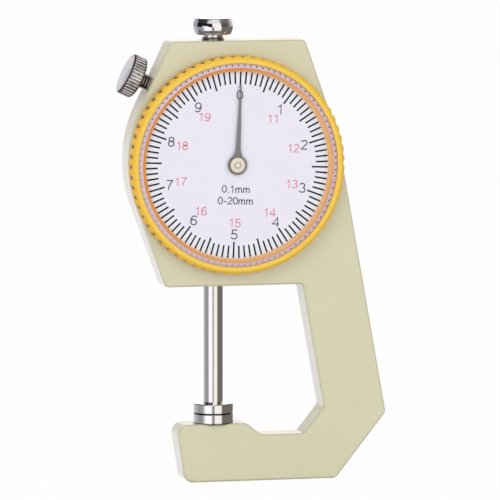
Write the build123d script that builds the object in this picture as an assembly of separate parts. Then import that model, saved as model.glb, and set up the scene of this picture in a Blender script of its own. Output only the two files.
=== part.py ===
from build123d import *
from math import atan2, cos, pi, radians, sin, sqrt, tan
import os

os.makedirs("parts", exist_ok=True)

# The frame stands upright: +Z runs up the measuring line, +X points at the arm, the dial faces -Y.
# The origin is the centre of the anvil's measuring face. Lengths are millimetres, angles degrees.

# Clearances
running_gap = 0.03
seat_gap = 0.02
face_gap = 0.05
free_gap = 0.3
socket_gap = 0.1
cut_over = 1.0

# Measuring line
travel = 20.0
spindle_r = 2.4
contact_r = 4.9
contact_edge = 0.2
foot_tall = 2.4
foot_spigot_r = 1.5
foot_spigot_long = 1.8
anvil_tall = 2.4
anvil_stem_r = 2.0
anvil_stem_long = 6.0

# Frame outline, seen from the front
frame_thick = 8.0
frame_edge_r = 0.6
throat_reach = 27.3
throat_high = 31.5
throat_step = 3.0
throat_corner_r = 1.2
arm_wide = 15.4
arm_lean = 10.1
elbow_lean = 38.3
elbow_outer_r = 1.6
elbow_inner_r = 1.0
jaw_deep = 14.3
jaw_tip_x = -10.05
jaw_tip_lean = 8.5
jaw_corner_r = 2.5
jaw_land_end_x = 7.6
ramp_run = 3.7
ramp_r = 2.6
floor_end_x = 22.0
heel_x = 30.15
head_tall = 60.0
head_top_left_x = -11.3
head_top_right_x = 22.3
head_low_left_x = -12.75
head_upper_lean = 25.7
head_lower_lean = 20.1
head_right_lean = 19.35
head_side_r = 31.0
head_shoulder_r = 12.0
head_corner_r = 1.4

# Dial case, its depths counted from the front of the frame towards the viewer
dial_x = 4.75
dial_up = 29.8
boss_high = 1.1
boss_root = 0.5
wire_r = 0.25
wire_opening = 40.0
dial_seat_wide = 0.9
dial_thick = 0.4
dial_over_boss = 0.1
dial_hole_gap = 0.9
bezel_wall = 1.9
bezel_teeth = 66
bezel_notch_r = 1.1
bezel_notch_deep = 0.48
bezel_edge_wide = 0.25
bezel_edge_high = 0.35
bezel_lip_wide = 0.9
bezel_lip_high = 0.8
ledge_wide = 1.96
crystal_r = 24.9
crystal_thick = 0.8
crystal_rim = 0.25
crystal_bevel = 1.05
crystal_over_cap = 0.15
crystal_over_lip = 0.1

# Pointer
pointer_tip_gap = 3.4
pointer_thick = 0.15
pointer_root_wide = 1.4
pointer_tip_wide = 0.36
pointer_hub_r = 2.4
pointer_flare_wide = 2.3
pointer_flare_low = 2.1
pointer_flare_top = 3.8
pointer_over_dial = 0.4
pointer_angle = 2.4
cap_r = 2.1
cap_high = 0.4
cap_rim = 0.12
cap_button_r = 0.7

# Movement
pinion_teeth = 16
tooth_pitch = 0.625
tooth_tip_share = 0.8
tooth_root_share = 1.15
pressure_angle = 20.0
backlash = 0.02
rack_wide = 2.0
rack_margin = 1.35
rack_let_in = 1.8
rack_pin_r = 0.45
guide_pin_out = 1.0
arbor_r = 0.8
arbor_front_r = 0.5
arbor_pivot_r = 0.4
pinion_bore_r = 0.6
bush_wall = 0.7
arbor_flange_wide = 0.7
arbor_flange_thick = 0.4
bridge_thick = 0.8
bridge_eye_r = 2.0
bridge_screw_apart = 8.6
bridge_post_r = 1.7
bridge_screw_r = 0.8
bridge_screw_head_r = 1.3
bridge_screw_long = 3.0
collet_r = 0.95
collet_long = 0.6
hairspring_strip = 0.07
hairspring_wide = 0.5
hairspring_pitch = 0.27
hairspring_turns = 4.0
hairspring_steps = 12
stud_r = 0.25

# Return spring
spring_coil_r = 0.85
spring_wire_r = 0.15
spring_turns = 14
spring_pin_r = 0.5
spring_pin_over_rack = 1.5
spring_post_r = 0.5
spring_post_up = 12.1

# Case back
wall_front = 1.4
cavity_r = 19.5
channel_left = 3.0
channel_side = 0.4
cover_r = 25.0
cover_edge = 0.2
cover_over_bush = 0.15
cover_screw_angles = (60.0, 180.0, 300.0)
cover_screw_r = 1.0
cover_screw_head_r = 1.9
cover_screw_long = 4.2
screw_slot_wide = 0.4
screw_slot_deep = 0.4

# Spindle bushes and lift knob
bush_r = 2.85
bush_nose_step = 0.1
bush_nose_rim = 0.2
bush_nose_high = 0.8
bush_nose_wall = 0.12
neck_high = 1.4
knob_r = 4.95
knob_end_r = 4.55
knob_tall = 4.0
knob_edge_r = 0.35
knob_spigot_r = 1.6
knob_spigot_long = 2.6

# Lock screw
lock_down = 18.12
lock_thread_r = 1.95
lock_pitch = 0.7
lock_neck = 2.56
lock_knob_r = 5.15
lock_knob_long = 3.6
lock_knob_edge = 0.4
lock_knob_teeth = 36
lock_notch_r = 0.3
lock_notch_deep = 0.22
lock_dome = 0.35
lock_turn = 180.0
lock_pad_r = 1.3
lock_pad_long = 3.4

# Heights and depths that follow
frame_front = -frame_thick / 2
frame_back = frame_thick / 2
jaw_top = -anvil_tall
floor_z = jaw_top - throat_step
base_z = jaw_top - jaw_deep
head_low = throat_high
head_top = head_low + head_tall
dial_z = head_low + dial_up
lock_z = head_top - lock_down
spring_post_z = head_low + spring_post_up
cavity_floor = frame_front + wall_front
cover_inner = bush_r + cover_over_bush
cover_thick = frame_back - cover_inner
cover_screw_circle = (cavity_r + cover_r) / 2
boss_r = crystal_r
bezel_r = boss_r + bezel_wall
dial_r = crystal_r - dial_seat_wide
dial_hole_r = arbor_r + dial_hole_gap
ledge_r = crystal_r - ledge_wide
crystal_top_r = crystal_r - crystal_bevel
pointer_long = ledge_r - pointer_tip_gap
bridge_y = cover_inner - free_gap - bridge_thick
pitch_r = pinion_teeth * tooth_pitch / (2 * pi)
tooth_module = tooth_pitch / pi
rack_line_x = dial_x - pitch_r
rack_tip_x = rack_line_x + tooth_tip_share * tooth_module
rack_root_x = rack_line_x - tooth_root_share * tooth_module
rack_low = dial_z - travel - rack_margin
rack_top = dial_z + rack_margin
rack_pin_x = spindle_r - rack_let_in / 2
rack_pin_zs = (rack_low + rack_margin, rack_top - rack_margin)
spring_pin_z = rack_top + spring_pin_over_rack
hairspring_start_r = collet_r + face_gap
hairspring_end_r = hairspring_start_r + hairspring_pitch * hairspring_turns + hairspring_strip
stud_x = dial_x + hairspring_end_r + seat_gap + stud_r
spring_side = spring_coil_r + spring_wire_r
spring_x = stud_x + stud_r + free_gap + spring_side
bridge_post_x = spring_x + spring_side + 2 * free_gap + bridge_post_r
channel_low = rack_low - channel_side
channel_top = spring_pin_z + spring_pin_r + travel + channel_side
channel_right = spring_x + spring_side + channel_side
foot_top = face_gap + foot_tall
knob_low = head_top + neck_high
knob_top = knob_low + knob_tall
groove_mid = boss_high / 2 + face_gap
dial_back = boss_high + dial_over_boss
dial_front = dial_back + dial_thick
pointer_back = dial_front + pointer_over_dial
pointer_front = pointer_back + pointer_thick
ledge_front = pointer_front + cap_high + crystal_over_cap
crystal_front = ledge_front + crystal_thick


dial_origin = (dial_x, frame_front, dial_z)
dial_axis = Axis(dial_origin, (0, -1, 0))
dial_plane = Plane(origin=dial_origin, x_dir=(1, 0, 0), z_dir=(0, -1, 0))
dial_section = Plane(origin=dial_origin, x_dir=(1, 0, 0), z_dir=(0, 0, -1))


# Shared shapes
def front_plane(y):
    return Plane(origin=(0, y, 0), x_dir=(1, 0, 0), z_dir=(0, -1, 0))


def slab(sketch, y_back, y_front):
    """Sketch in X and Z, made solid from y_back forward to y_front."""
    return extrude(front_plane(y_back) * sketch, y_back - y_front)


def pin(x, z, r, y_back, y_front):
    return slab(Pos(x, z) * Circle(r), y_back, y_front)


def upright(r, z_low, z_high):
    """Cylinder on the measuring line."""
    return extrude(Plane(origin=(0, 0, z_low)) * Circle(r), z_high - z_low)


def outline(*points):
    return make_face(Polyline(*points, close=True))


def turned(points):
    """Solid of revolution about Z from a half section in (radius, height)."""
    return revolve(Plane.XZ * outline(*points), Axis.Z)


def dial_turned(points):
    """Solid of revolution about the dial's axis from a section in (radius, depth)."""
    return revolve(dial_section * outline(*points), dial_axis)


def dial_ring(outer, inner, back, front):
    return dial_turned([(inner, back), (outer, back), (outer, front), (inner, front)])


def rounded(corners):
    """Closed face whose corners, given as (x, z, radius), are rounded by tangent arcs."""
    edges = []
    ends = []
    for i, (x, z, r) in enumerate(corners):
        before = Vector(*corners[i - 1][:2])
        after = Vector(*corners[(i + 1) % len(corners)][:2])
        here = Vector(x, z)
        to_before = (before - here).normalized()
        to_after = (after - here).normalized()
        half = radians(to_before.get_angle(to_after)) / 2
        start = here + to_before * (r / tan(half))
        end = here + to_after * (r / tan(half))
        bisector = (to_before + to_after).normalized()
        middle = here + bisector * (r / sin(half) - r)
        edges.append(ThreePointArc(start, middle, end))
        ends.append((start, end))
    for i, (start, _) in enumerate(ends):
        edges.append(Line(ends[i - 1][1], start))
    return make_face(edges)


def meet(x1, z1, lean1, x2, z2, lean2):
    """Where two lines cross, each through a point and leaning to +X per unit of height."""
    slope1 = tan(radians(lean1))
    slope2 = tan(radians(lean2))
    z = (x2 - x1 + slope1 * z1 - slope2 * z2) / (slope1 - slope2)
    return x1 + slope1 * (z - z1), z


def leaning_x(x, z, lean, at_z):
    return x + tan(radians(lean)) * (at_z - z)


def notches(count, rim_r, notch_r, notch_deep, length):
    """Ring of round-bottomed grooves along Z, for a straight knurl."""
    groove = Pos(rim_r - notch_deep + notch_r, 0) * Circle(notch_r)
    ring = [Rot(0, 0, 360 * i / count) * groove for i in range(count)]
    return extrude(Sketch() + ring, length)


def slotted_screw(head_r, shank_r, long, head_cone):
    """Countersunk screw, its top face at z 0 and its shank along -Z."""
    body = turned([(0, 0), (head_r, 0), (shank_r, -head_cone), (shank_r, -long), (0, -long)])
    slot = Box(3 * head_r, screw_slot_wide, 2 * screw_slot_deep)
    return body - slot


def countersink(head_r, shank_r, long, head_cone):
    wide = head_r + seat_gap
    slim = shank_r + seat_gap
    top = free_gap
    return turned([(0, top), (wide, top), (wide, 0), (slim, -head_cone), (slim, -long), (0, -long)])


def back_facing(x, y, z):
    """Plane on the back of the gauge, its normal pointing away from the dial."""
    return Plane(origin=(x, y, z), x_dir=(-1, 0, 0), z_dir=(0, 1, 0))


# Frame outline
arm_outer_at = throat_reach + arm_wide
head_left = meet(head_top_left_x, head_top, head_upper_lean, head_low_left_x, head_low, -head_lower_lean)
shoulder = meet(head_top_right_x, head_top, -head_right_lean, arm_outer_at, 0, -arm_lean)
elbow_outer = meet(heel_x, base_z, elbow_lean, arm_outer_at, 0, -arm_lean)
elbow_inner = meet(floor_end_x, floor_z, elbow_lean, throat_reach, 0, -arm_lean)
throat_top_x = leaning_x(throat_reach, 0, -arm_lean, head_low)
jaw_base_x = leaning_x(jaw_tip_x, jaw_top, -jaw_tip_lean, base_z)

frame_corners = [
    (head_top_left_x, head_top, head_corner_r),
    (*head_left, head_side_r),
    (head_low_left_x, head_low, head_corner_r),
    (throat_top_x, head_low, throat_corner_r),
    (*elbow_inner, elbow_inner_r),
    (floor_end_x, floor_z, elbow_inner_r),
    (jaw_land_end_x + ramp_run, floor_z, ramp_r),
    (jaw_land_end_x, jaw_top, ramp_r),
    (jaw_tip_x, jaw_top, jaw_corner_r),
    (jaw_base_x, base_z, jaw_corner_r),
    (heel_x, base_z, elbow_outer_r),
    (*elbow_outer, elbow_outer_r),
    (*shoulder, head_shoulder_r),
    (head_top_right_x, head_top, head_corner_r),
]

# Lock screw line, square to the head's upper left side and aimed at the spindle
lock_out = (-cos(radians(head_upper_lean)), sin(radians(head_upper_lean)))
lock_line = Plane(origin=(0, 0, lock_z), x_dir=(0, 1, 0), z_dir=(lock_out[0], 0, lock_out[1]))
side_from_lock = (head_top_left_x * lock_out[0]) + (head_top - lock_z) * lock_out[1]
lock_advance = lock_pitch * lock_turn / 360
pad_gap = face_gap + lock_advance * -lock_out[0]
pad_tip_centre = (spindle_r + pad_gap + lock_pad_r) / -lock_out[0]
pad_back = pad_tip_centre + lock_pad_long
lock_knob_low = side_from_lock + lock_neck

# Bridge over the pinion
bridge_screw_at = [(bridge_post_x, dial_z + side * bridge_screw_apart / 2) for side in (1, -1)]
cover_screw_at = [
    (
        dial_x + cover_screw_circle * cos(radians(angle)),
        dial_z + cover_screw_circle * sin(radians(angle)),
    )
    for angle in cover_screw_angles
]
cover_screw_cone = cover_screw_head_r - cover_screw_r
bridge_screw_cone = bridge_screw_head_r - bridge_screw_r


def box_between(x1, x2, z1, z2):
    return Pos((x1 + x2) / 2, (z1 + z2) / 2) * Rectangle(x2 - x1, z2 - z1)


def make_frame():
    plate = slab(rounded(frame_corners), frame_back, frame_front)
    rims = plate.faces().sort_by(Axis.Y)
    plate = fillet(rims[0].edges() + rims[-1].edges(), frame_edge_r)
    boss_groove_r = boss_r - wire_r
    boss = dial_turned([
        (0, -boss_root),
        (boss_r, -boss_root),
        (boss_r, groove_mid - wire_r),
        (boss_groove_r, groove_mid - wire_r),
        (boss_groove_r, groove_mid + wire_r),
        (boss_r, groove_mid + wire_r),
        (boss_r, boss_high),
        (0, boss_high),
    ])
    body = plate + boss
    bowl = (Pos(dial_x, dial_z) * Circle(cavity_r)) & box_between(
        -channel_left, dial_x + cavity_r, dial_z - cavity_r, dial_z + cavity_r
    )
    rack_channel = box_between(-channel_left, rack_tip_x + free_gap, channel_low, channel_top)
    post_room = spring_post_r + 2 * spring_wire_r + channel_side
    spring_channel = box_between(-channel_left, channel_right, spring_post_z - post_room, channel_top)
    body -= slab(bowl + rack_channel + spring_channel, frame_back, cavity_floor)
    body -= pin(dial_x, dial_z, cover_r + seat_gap, frame_back + cut_over, cover_inner)
    for x, z in bridge_screw_at:
        post = pin(x, z, bridge_post_r, bridge_y, cavity_floor - wall_front / 2)
        body += post - pin(x, z, bridge_screw_r + seat_gap, bridge_y, bridge_y - bridge_screw_long)
    for x, z in cover_screw_at:
        deep = cover_screw_long - cover_thick + free_gap
        body -= pin(x, z, cover_screw_r + seat_gap, cover_inner, cover_inner - deep)
    bush_hole_r = arbor_r + running_gap + bush_wall + seat_gap
    body -= pin(dial_x, dial_z, bush_hole_r, cavity_floor + cut_over, frame_front - boss_high)
    post_hole_r = spring_post_r + seat_gap
    body -= pin(spring_x, spring_post_z, post_hole_r, cavity_floor, cavity_floor - wall_front / 2)
    groove_low = rack_pin_zs[1] - rack_pin_r - channel_side
    groove_top = rack_pin_zs[1] + rack_pin_r + travel + channel_side
    groove_side = rack_pin_r + running_gap
    groove = box_between(rack_pin_x - groove_side, rack_pin_x + groove_side, groove_low, groove_top)
    body -= slab(groove, cavity_floor, -spindle_r - guide_pin_out - channel_side / 2)
    body -= upright(bush_r + seat_gap, channel_top, head_top)
    body -= upright(bush_r + seat_gap, head_low, channel_low)
    body -= upright(spindle_r + free_gap / 2, head_low, head_top)
    body -= upright(anvil_stem_r + seat_gap, jaw_top - anvil_stem_long - free_gap, jaw_top)
    thread_bore = turned([
        (0, 0),
        (lock_pad_r + running_gap, 0),
        (lock_pad_r + running_gap, pad_back - lock_advance - free_gap),
        (lock_thread_r + running_gap, pad_back - lock_advance - free_gap),
        (lock_thread_r + running_gap, side_from_lock + cut_over),
        (0, side_from_lock + cut_over),
    ])
    return body - lock_line * thread_bore


def make_cover():
    plate = pin(dial_x, dial_z, cover_r, frame_back, cover_inner)
    rim = plate.faces().sort_by(Axis.Y)[-1].edges()
    plate = chamfer(rim, cover_edge)
    for x, z in cover_screw_at:
        plane = back_facing(x, frame_back, z)
        plate -= plane * countersink(cover_screw_head_r, cover_screw_r, cover_thick, cover_screw_cone)
    return plate


def make_cover_screws():
    screw = slotted_screw(cover_screw_head_r, cover_screw_r, cover_screw_long, cover_screw_cone)
    return Compound([back_facing(x, frame_back, z) * screw for x, z in cover_screw_at])


def make_lower_bush():
    bore = spindle_r + running_gap
    return turned([(bore, head_low), (bush_r, head_low), (bush_r, channel_low), (bore, channel_low)])


def make_upper_bush():
    """Bush whose flared nose stands out of the head under the lift knob."""
    bore = spindle_r + running_gap
    nose_r = bush_r - bush_nose_step
    nose_top = head_top + bush_nose_high
    return turned([
        (bore, channel_top),
        (bush_r, channel_top),
        (bush_r, head_top),
        (nose_r, head_top),
        (nose_r, head_top + bush_nose_rim),
        (bore + bush_nose_wall, nose_top),
        (bore, nose_top),
    ])


def make_anvil():
    stem_low = jaw_top - anvil_stem_long
    return turned([
        (0, 0),
        (contact_r - contact_edge, 0),
        (contact_r, -contact_edge),
        (contact_r, jaw_top),
        (anvil_stem_r, jaw_top),
        (anvil_stem_r, stem_low + contact_edge),
        (anvil_stem_r - contact_edge, stem_low),
        (0, stem_low),
    ])


def make_foot():
    socket_r = foot_spigot_r + seat_gap
    socket_top = foot_top - foot_spigot_long - socket_gap
    return turned([
        (0, face_gap),
        (contact_r - contact_edge, face_gap),
        (contact_r, face_gap + contact_edge),
        (contact_r, foot_top - contact_edge),
        (contact_r - contact_edge, foot_top),
        (socket_r, foot_top),
        (socket_r, socket_top),
        (0, socket_top),
    ])


def make_spindle():
    shaft = turned([
        (0, foot_top - foot_spigot_long),
        (foot_spigot_r, foot_top - foot_spigot_long),
        (foot_spigot_r, foot_top),
        (spindle_r, foot_top),
        (spindle_r, knob_low),
        (knob_spigot_r, knob_low),
        (knob_spigot_r, knob_low + knob_spigot_long),
        (0, knob_low + knob_spigot_long),
    ])
    slot_low = rack_low - seat_gap
    slot_top = rack_top + seat_gap
    slot_bottom = spindle_r - rack_let_in - seat_gap
    slot = box_between(slot_bottom, spindle_r + cut_over, slot_low, slot_top)
    shaft -= slab(slot, rack_wide / 2 + seat_gap, -rack_wide / 2 - seat_gap)
    for z in rack_pin_zs:
        shaft -= pin(rack_pin_x, z, rack_pin_r + seat_gap, spindle_r + cut_over, -spindle_r - cut_over)
    cross = Pos(0, 0, spring_pin_z) * Rot(0, 90, 0) * Cylinder(spring_pin_r + seat_gap, 3 * spindle_r)
    return shaft - cross


def make_lift_knob():
    socket_r = knob_spigot_r + seat_gap
    socket_top = knob_low + knob_spigot_long + socket_gap
    mid = knob_low + knob_tall / 2
    base = Line((socket_r, knob_low), (knob_end_r - knob_edge_r, knob_low))
    low_edge = RadiusArc(base @ 1, (knob_end_r, knob_low + knob_edge_r), -knob_edge_r)
    top_start = (knob_end_r, knob_top - knob_edge_r)
    side = ThreePointArc(low_edge @ 1, (knob_r, mid), top_start)
    top_edge = RadiusArc(side @ 1, (knob_end_r - knob_edge_r, knob_top), -knob_edge_r)
    top = Line(top_edge @ 1, (0, knob_top))
    hollow = Polyline((0, knob_top), (0, socket_top), (socket_r, socket_top), (socket_r, knob_low))
    section = make_face([base, low_edge, side, top_edge, top, hollow])
    return revolve(Plane.XZ * section, Axis.Z)


def depth_of(y):
    """Depth forward from the frame's front of a place given by its Y."""
    return frame_front - y


def rack_tooth(z):
    """One straight-sided rack tooth pointing at the pinion."""
    tip = tooth_tip_share * tooth_module
    root = tooth_root_share * tooth_module
    lean = tan(radians(pressure_angle))
    half = tooth_pitch / 4 - backlash / 2
    half_tip = half - tip * lean
    half_root = half + root * lean
    return outline(
        (rack_root_x - seat_gap, z - half_root),
        (rack_root_x, z - half_root),
        (rack_tip_x, z - half_tip),
        (rack_tip_x, z + half_tip),
        (rack_root_x, z + half_root),
        (rack_root_x - seat_gap, z + half_root),
    )


def make_rack():
    bar = box_between(spindle_r - rack_let_in, rack_root_x, rack_low, rack_top)
    below = int((dial_z - rack_low) / tooth_pitch - 0.5)
    above = int((rack_top - dial_z) / tooth_pitch - 0.5)
    teeth = [rack_tooth(dial_z + i * tooth_pitch) for i in range(-below, above + 1)]
    rack = slab(bar + teeth, rack_wide / 2, -rack_wide / 2)
    for z in rack_pin_zs:
        rack -= pin(rack_pin_x, z, rack_pin_r + seat_gap, rack_wide, -rack_wide)
    return rack


def rack_pin(z, front):
    flush = sqrt(spindle_r ** 2 - (rack_pin_x + rack_pin_r) ** 2)
    return pin(rack_pin_x, z, rack_pin_r, flush, min(front, -flush))


def involute_turn(base_r, r):
    """Polar angle that an involute has turned through at radius r."""
    slope = sqrt(max((r / base_r) ** 2 - 1, 0))
    return slope - atan2(slope, 1)


def make_pinion():
    tip_r = pitch_r + tooth_tip_share * tooth_module
    root_r = pitch_r - tooth_root_share * tooth_module
    base_r = pitch_r * cos(radians(pressure_angle))
    at_base = (tooth_pitch / 4 - backlash / 2) / pitch_r + involute_turn(base_r, pitch_r)
    steps = 3
    flank = [(root_r, at_base)]
    for i in range(steps + 1):
        r = base_r + (tip_r - base_r) * i / steps
        flank.append((r, at_base - involute_turn(base_r, r)))
    points = []
    for k in range(pinion_teeth):
        middle = pi + (k + 0.5) * 2 * pi / pinion_teeth
        rising = [(r, middle - angle) for r, angle in flank]
        falling = [(r, middle + angle) for r, angle in reversed(flank)]
        points += [(r * cos(angle), r * sin(angle)) for r, angle in rising + falling]
    gear = Pos(dial_x, dial_z) * (outline(*points) - Circle(pinion_bore_r + seat_gap))
    return slab(gear, rack_wide / 2, -rack_wide / 2)


def make_arbor():
    back = depth_of(bridge_y + bridge_thick - seat_gap)
    shoulder_back = depth_of(bridge_y - seat_gap)
    shoulder_front = depth_of(-rack_wide / 2)
    neck = (dial_front + pointer_back) / 2
    return dial_turned([
        (0, back),
        (arbor_pivot_r, back),
        (arbor_pivot_r, shoulder_back),
        (pinion_bore_r, shoulder_back),
        (pinion_bore_r, shoulder_front),
        (arbor_r, shoulder_front),
        (arbor_r, neck),
        (arbor_front_r, neck),
        (arbor_front_r, pointer_front),
        (0, pointer_front),
    ])


def make_arbor_bush():
    bore = arbor_r + running_gap
    outer = bore + bush_wall
    floor = depth_of(cavity_floor)
    flange_back = floor - arbor_flange_thick
    flange_r = outer + arbor_flange_wide
    return dial_turned([
        (bore, flange_back),
        (flange_r, flange_back),
        (flange_r, floor),
        (outer, floor),
        (outer, boss_high),
        (bore, boss_high),
    ])


def make_bridge():
    eye = Pos(dial_x, dial_z) * Circle(bridge_eye_r)
    ears = [Pos(x, z) * Circle(bridge_post_r) for x, z in bridge_screw_at]
    plate = make_hull((Sketch() + [eye] + ears).edges())
    body = slab(plate, bridge_y + bridge_thick, bridge_y)
    body -= pin(dial_x, dial_z, arbor_pivot_r + running_gap, frame_back, 0)
    body -= pin(stud_x, dial_z, stud_r + seat_gap, frame_back, 0)
    for x, z in bridge_screw_at:
        plane = back_facing(x, bridge_y + bridge_thick, z)
        body -= plane * countersink(bridge_screw_head_r, bridge_screw_r, bridge_thick, bridge_screw_cone)
    return body


def make_bridge_screws():
    screw = slotted_screw(bridge_screw_head_r, bridge_screw_r, bridge_screw_long, bridge_screw_cone)
    return Compound([back_facing(x, bridge_y + bridge_thick, z) * screw for x, z in bridge_screw_at])


def make_collet():
    back = rack_wide / 2 + seat_gap + collet_long
    ring = pin(dial_x, dial_z, collet_r, back, rack_wide / 2 + seat_gap)
    return ring - pin(dial_x, dial_z, pinion_bore_r + seat_gap, frame_back, 0)


def spiral(start_r):
    """Spiral that widens by the hairspring's pitch at each turn."""
    steps = int(hairspring_steps * hairspring_turns)
    points = []
    for i in range(steps + 1):
        turn = hairspring_turns * i / steps
        r = start_r + hairspring_pitch * turn
        points.append((dial_x + r * cos(2 * pi * turn), dial_z + r * sin(2 * pi * turn)))
    return Spline(*points)


def make_hairspring():
    inner = spiral(hairspring_start_r)
    outer = spiral(hairspring_start_r + hairspring_strip)
    strip = make_face([inner, Line(inner @ 1, outer @ 1), outer, Line(inner @ 0, outer @ 0)])
    front = rack_wide / 2 + seat_gap + (collet_long - hairspring_wide) / 2
    return slab(strip, front + hairspring_wide, front)


def make_stud():
    return pin(stud_x, dial_z, stud_r, bridge_y + bridge_thick, rack_wide / 2 + seat_gap)


def wire(start, end, r):
    """Straight round wire with ball ends, so that the next stretch joins it."""
    line = Line(start, end)
    body = sweep(Plane(origin=start, z_dir=line % 0) * Circle(r), path=line)
    return body + Pos(*start) * Sphere(r)


def make_return_spring():
    post_eye_r = spring_post_r + spring_wire_r + running_gap
    pin_eye_r = spring_pin_r + spring_wire_r + running_gap
    coil_low = spring_post_z + post_eye_r + spring_coil_r / 2
    coil_top = spring_pin_z - pin_eye_r - spring_coil_r / 2
    pitch = (coil_top - coil_low) / spring_turns
    path = Pos(spring_x, 0, coil_low) * Helix(pitch, coil_top - coil_low, spring_coil_r)
    coil = sweep(Plane(origin=path @ 0, z_dir=path % 0) * Circle(spring_wire_r), path=path, is_frenet=True)
    post_eye = Pos(spring_x, 0, spring_post_z) * Rot(90, 0, 0) * Torus(post_eye_r, spring_wire_r)
    pin_eye = Pos(spring_x, 0, spring_pin_z) * Rot(0, 90, 0) * Torus(pin_eye_r, spring_wire_r)
    side = spring_x + spring_coil_r
    low_stem = wire((spring_x, 0, coil_low), (spring_x, 0, spring_post_z + post_eye_r), spring_wire_r)
    low_arm = wire((side, 0, coil_low), (spring_x, 0, coil_low), spring_wire_r)
    top_stem = wire((spring_x, 0, coil_top), (spring_x, 0, spring_pin_z - pin_eye_r), spring_wire_r)
    top_arm = wire((side, 0, coil_top), (spring_x, 0, coil_top), spring_wire_r)
    low_end = post_eye + low_stem + low_arm
    top_end = pin_eye + top_stem + top_arm
    return coil + low_end + top_end


def make_spring_post():
    end = spring_wire_r + 2 * free_gap
    return pin(spring_x, spring_post_z, spring_post_r, end, cavity_floor - wall_front / 2)


def make_spring_pin():
    flush = sqrt(spindle_r ** 2 - spring_pin_r ** 2)
    end = spring_x + spring_wire_r + free_gap
    rod = Rot(0, 90, 0) * Cylinder(spring_pin_r, end + flush)
    return Pos((end - flush) / 2, 0, spring_pin_z) * rod


# Dial case
def make_bezel():
    bore_r = boss_r + running_gap
    groove_r = boss_r + wire_r + running_gap
    back = free_gap
    lip_front = crystal_front - crystal_over_lip
    band_front = lip_front - bezel_lip_high
    seat_r = crystal_r + seat_gap
    dial_seat_r = dial_r + seat_gap
    ring = dial_turned([
        (bore_r, back),
        (bezel_r, back),
        (bezel_r, band_front),
        (bezel_r - bezel_edge_wide, band_front + bezel_edge_high),
        (seat_r + bezel_lip_wide, lip_front),
        (seat_r, lip_front),
        (seat_r, ledge_front),
        (ledge_r, ledge_front),
        (ledge_r, dial_front),
        (dial_seat_r, dial_front),
        (dial_seat_r, dial_back - seat_gap),
        (bore_r, dial_back - seat_gap),
        (bore_r, groove_mid + wire_r),
        (groove_r, groove_mid + wire_r),
        (groove_r, groove_mid - wire_r),
        (bore_r, groove_mid - wire_r),
    ])
    cuts = notches(bezel_teeth, bezel_r, bezel_notch_r, bezel_notch_deep, lip_front)
    return ring - dial_plane * cuts


def make_bezel_wire():
    section = dial_section * Pos(boss_r, groove_mid) * Circle(wire_r - seat_gap)
    return revolve(section, dial_axis, revolution_arc=360 - wire_opening)


def make_dial():
    return dial_ring(dial_r, dial_hole_r, dial_back, dial_front)


def make_crystal():
    return dial_turned([
        (0, ledge_front),
        (crystal_r, ledge_front),
        (crystal_r, ledge_front + crystal_rim),
        (crystal_top_r, crystal_front),
        (0, crystal_front),
    ])


def make_pointer():
    half_root = pointer_root_wide / 2
    half_tip = pointer_tip_wide / 2
    half_flare = pointer_flare_wide / 2
    half_neck = half_root + (half_tip - half_root) * pointer_flare_top / pointer_long
    needle = outline((-half_root, 0), (half_root, 0), (half_tip, pointer_long), (-half_tip, pointer_long))
    flare = outline(
        (-half_flare, pointer_flare_low),
        (half_flare, pointer_flare_low),
        (half_neck, pointer_flare_top),
        (-half_neck, pointer_flare_top),
    )
    flat = needle + flare + Circle(pointer_hub_r) - Circle(arbor_front_r + seat_gap)
    turned_flat = Pos(dial_x, dial_z) * Rot(0, 0, -pointer_angle) * flat
    return slab(turned_flat, frame_front - pointer_back, frame_front - pointer_front)


def make_pointer_cap():
    top = pointer_front + cap_high
    return dial_turned([
        (0, pointer_front),
        (cap_r, pointer_front),
        (cap_r, pointer_front + cap_rim),
        (cap_r - cap_rim, pointer_front + 2 * cap_rim),
        (cap_button_r + cap_rim, top - cap_rim / 2),
        (cap_button_r, top),
        (0, top),
    ])


# Lock screw
def make_lock_screw():
    knob_end = lock_knob_low + lock_knob_long
    edge = lock_knob_edge
    body = turned([
        (0, pad_back),
        (lock_thread_r, pad_back),
        (lock_thread_r, lock_knob_low),
        (lock_knob_r - edge, lock_knob_low),
        (lock_knob_r, lock_knob_low + edge),
        (lock_knob_r, knob_end - edge),
        (lock_knob_r - edge, knob_end),
        (0, knob_end),
    ])
    dome_r = (lock_knob_r ** 2 / lock_dome + lock_dome) / 2
    dome = Pos(0, 0, knob_end + lock_dome - dome_r) * Sphere(dome_r)
    cap = Pos(0, 0, knob_end) * Cylinder(lock_knob_r - edge, 2 * lock_dome)
    cuts = notches(lock_knob_teeth, lock_knob_r, lock_notch_r, lock_notch_deep, lock_knob_long)
    body = body - Pos(0, 0, lock_knob_low) * cuts
    return lock_line * (body + (cap & dome))


def make_lock_pad():
    shank = turned([(0, pad_tip_centre), (lock_pad_r, pad_tip_centre), (lock_pad_r, pad_back), (0, pad_back)])
    return lock_line * (shank + Pos(0, 0, pad_tip_centre) * Sphere(lock_pad_r))


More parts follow.
